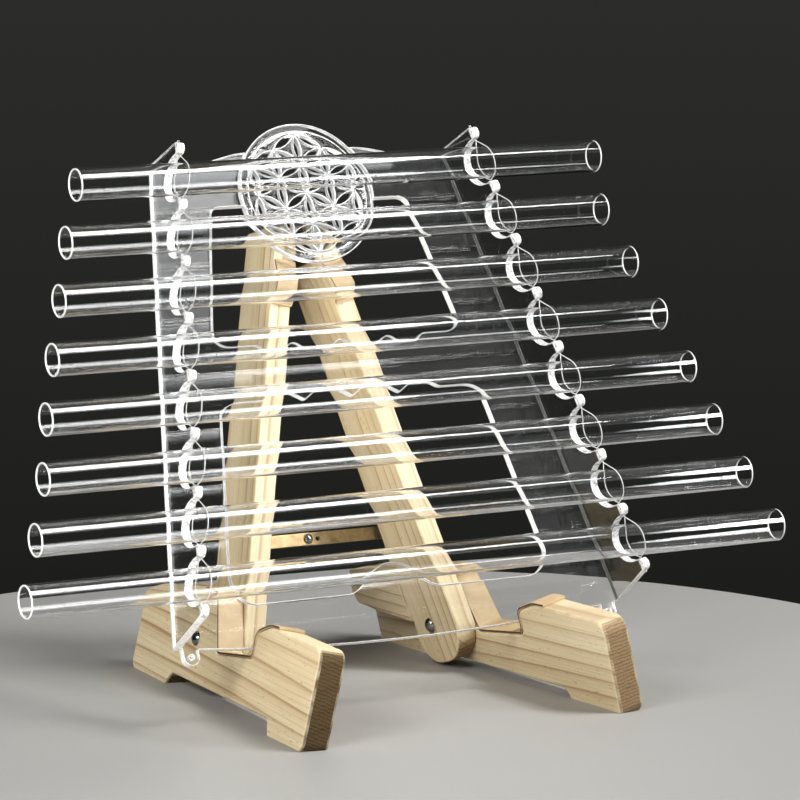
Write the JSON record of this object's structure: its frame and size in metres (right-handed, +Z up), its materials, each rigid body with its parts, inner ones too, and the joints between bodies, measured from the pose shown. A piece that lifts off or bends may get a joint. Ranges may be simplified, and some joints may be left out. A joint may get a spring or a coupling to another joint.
{
  "type": "crystal harp",
  "caption": "Crystal harp: clear quartz singing tubes strung on a leaning clear acrylic frame with a petal-cut disc, on a folding pine stand with leather-lined ledges.",
  "frame": {"origin": "on the ground under the middle of the bounding box", "axes": "+X along the tubes to the right as seen from the front, +Y to the back, +Z up"},
  "size_m": [0.515, 0.2666, 0.3388],
  "materials": {
    "quartz": "polished clear fused quartz",
    "acrylic": "clear polished sheet with bright cut edges",
    "nylon_line": "clear monofilament",
    "pine": "satin clear finish",
    "leather": "tan, burnished dark edges",
    "bronze": "dark bronzed",
    "stay_metal": "aged brass tone",
    "dark_steel": "dark polished steel"
  },
  "bodies": {
    "left_side": {"left_leg": "pine", "left_foot": "pine", "left_heel_block": "pine", "left_rest_leather": "leather", "left_ledge_leather": "leather", "left_pivot_bolt": "dark_steel", "left_cap_nut": "dark_steel", "hinge_left_leaf": "bronze", "hinge_pin": "bronze", "hinge_left_screw_1": "bronze", "hinge_left_screw_2": "bronze", "left_stay_screw": "dark_steel"},
    "right_side": {"right_leg": "pine", "right_foot": "pine", "right_heel_block": "pine", "right_rest_leather": "leather", "right_ledge_leather": "leather", "right_pivot_bolt": "dark_steel", "right_cap_nut": "dark_steel", "hinge_right_leaf": "bronze", "hinge_right_screw_1": "bronze", "hinge_right_screw_2": "bronze", "right_stay_screw": "dark_steel", "right_stay_spacer": "dark_steel"},
    "left_stay_link": {"left_stay": "stay_metal", "stay_rivet_head": "dark_steel"},
    "right_stay_link": {"right_stay": "stay_metal", "stay_rivet_tail": "dark_steel"},
    "harp": {"main_plate": "acrylic", "flower_disc": "acrylic", "left_cheek": "acrylic", "right_cheek": "acrylic", "left_line": "nylon_line", "right_line": "nylon_line"},
    "tube_1_body": {"tube_1": "quartz"},
    "tube_2_body": {"tube_2": "quartz"},
    "tube_3_body": {"tube_3": "quartz"},
    "tube_4_body": {"tube_4": "quartz"},
    "tube_5_body": {"tube_5": "quartz"},
    "tube_6_body": {"tube_6": "quartz"},
    "tube_7_body": {"tube_7": "quartz"},
    "tube_8_body": {"tube_8": "quartz"}
  },
  "joints": [
    {"name": "stand_fold", "type": "hinge", "parent": "left_side", "child": "right_side", "pos_m": [0, 0.10712, 0.27632], "axis": [0, 0.9564, -0.2921], "range_deg": [0, 23.77]},
    {"name": "left_stay_fold", "type": "hinge", "parent": "left_side", "child": "left_stay_link", "pos_m": [-0.05727, 0.07981, 0.08082], "axis": [0, -0.9564, 0.2921], "range_deg": [0, 63]},
    {"name": "right_stay_fold", "type": "hinge", "parent": "right_side", "child": "right_stay_link", "pos_m": [0.05727, 0.07981, 0.08082], "axis": [0, 0.9564, -0.2921], "range_deg": [0, 63]},
    {"name": "harp_lift", "type": "slide", "parent": "left_side", "child": "harp", "axis": [0, 0.4412, 0.8974], "range_m": [0, 0.15]},
    {"name": "tube_1_slide", "type": "slide", "parent": "harp", "child": "tube_1_body", "axis": [1, 0, 0], "range_m": [-0.03, 0.03]},
    {"name": "tube_2_slide", "type": "slide", "parent": "harp", "child": "tube_2_body", "axis": [1, 0, 0], "range_m": [-0.03, 0.03]},
    {"name": "tube_3_slide", "type": "slide", "parent": "harp", "child": "tube_3_body", "axis": [1, 0, 0], "range_m": [-0.03, 0.03]},
    {"name": "tube_4_slide", "type": "slide", "parent": "harp", "child": "tube_4_body", "axis": [1, 0, 0], "range_m": [-0.03, 0.03]},
    {"name": "tube_5_slide", "type": "slide", "parent": "harp", "child": "tube_5_body", "axis": [1, 0, 0], "range_m": [-0.03, 0.03]},
    {"name": "tube_6_slide", "type": "slide", "parent": "harp", "child": "tube_6_body", "axis": [1, 0, 0], "range_m": [-0.03, 0.03]},
    {"name": "tube_7_slide", "type": "slide", "parent": "harp", "child": "tube_7_body", "axis": [1, 0, 0], "range_m": [-0.03, 0.03]},
    {"name": "tube_8_slide", "type": "slide", "parent": "harp", "child": "tube_8_body", "axis": [1, 0, 0], "range_m": [-0.03, 0.03]}
  ],
  "couplings": [
    {"joint": "left_stay_fold", "follows": "stand_fold", "ratio": 2.6087},
    {"joint": "right_stay_fold", "follows": "stand_fold", "ratio": 2.6087}
  ]
}
